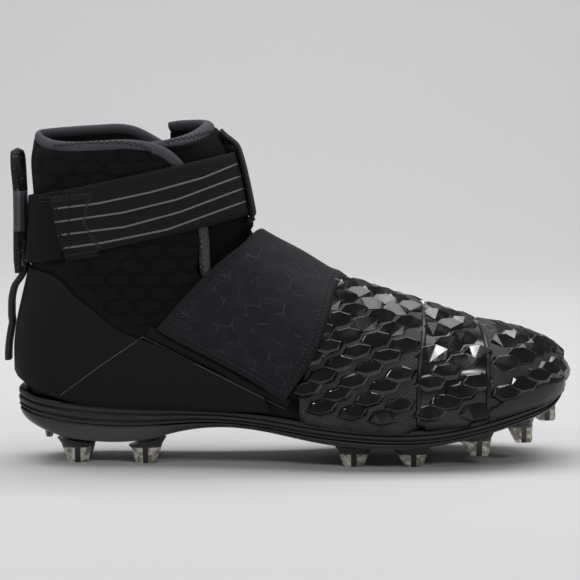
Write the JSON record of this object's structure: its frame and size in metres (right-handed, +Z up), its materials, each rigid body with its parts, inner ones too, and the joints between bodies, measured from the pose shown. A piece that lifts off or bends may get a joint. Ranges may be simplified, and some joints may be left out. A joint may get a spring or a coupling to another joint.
{
  "type": "american football cleat",
  "caption": "High-top right football cleat with ribbed cup sole, tapered studs, broad midfoot strap, elastic ankle strap and scaled forefoot",
  "frame": {"origin": "the ground under the middle of the shoe's bounding box, cord left out", "axes": "+X to the toe, +Z up, -Y to the outer side of the foot"},
  "size_m": [0.3134, 0.1046, 0.1885],
  "materials": {
    "knit": "quilted black knit",
    "mesh": "black mesh cloth",
    "edge_knit": "grey rolled knit edge",
    "foam": "cloth-faced foam",
    "plate": "satin moulded plastic",
    "smoke_plastic": "smoke grey moulded plastic",
    "stud_plastic": "clear moulded plastic round a dark core",
    "fused_fabric": "smooth fused cloth",
    "moulded_scales": "glossy moulded scales on mesh",
    "strap_fabric": "embossed strap cloth",
    "elastic": "elastic with reflective lines",
    "rope": "speckled braided rope",
    "sleeve_rubber": "ribbed grey rubber",
    "webbing": "woven webbing"
  },
  "bodies": {
    "root": {"upper": "knit", "tongue": "mesh", "tongue_tab": "edge_knit", "collar_binding": "edge_knit", "insole": "foam", "lasting_board": "foam", "midsole": "plate", "outsole": "smoke_plastic", "stud_heel_rear_outer": "stud_plastic", "stud_heel_rear_inner": "stud_plastic", "stud_heel_front_outer": "stud_plastic", "stud_heel_front_inner": "stud_plastic", "stud_arch_outer": "stud_plastic", "stud_arch_inner": "stud_plastic", "stud_ball_outer": "stud_plastic", "stud_ball_inner": "stud_plastic", "stud_tread_outer": "stud_plastic", "stud_tread_inner": "stud_plastic", "stud_toe_outer": "stud_plastic", "stud_toe_inner": "stud_plastic", "stud_toe_middle": "stud_plastic", "stud_rear_wedge": "stud_plastic", "stud_bump_ball": "smoke_plastic", "stud_bump_tread": "smoke_plastic", "heel_counter": "fused_fabric", "forefoot_armour": "moulded_scales", "midfoot_strap": "strap_fabric", "ankle_strap": "elastic", "ankle_strap_base": "fused_fabric", "front_strip": "fused_fabric", "heel_pull_cord": "rope", "cord_sleeve": "sleeve_rubber", "heel_loop": "webbing", "heel_tab": "webbing"}
  },
  "joints": []
}
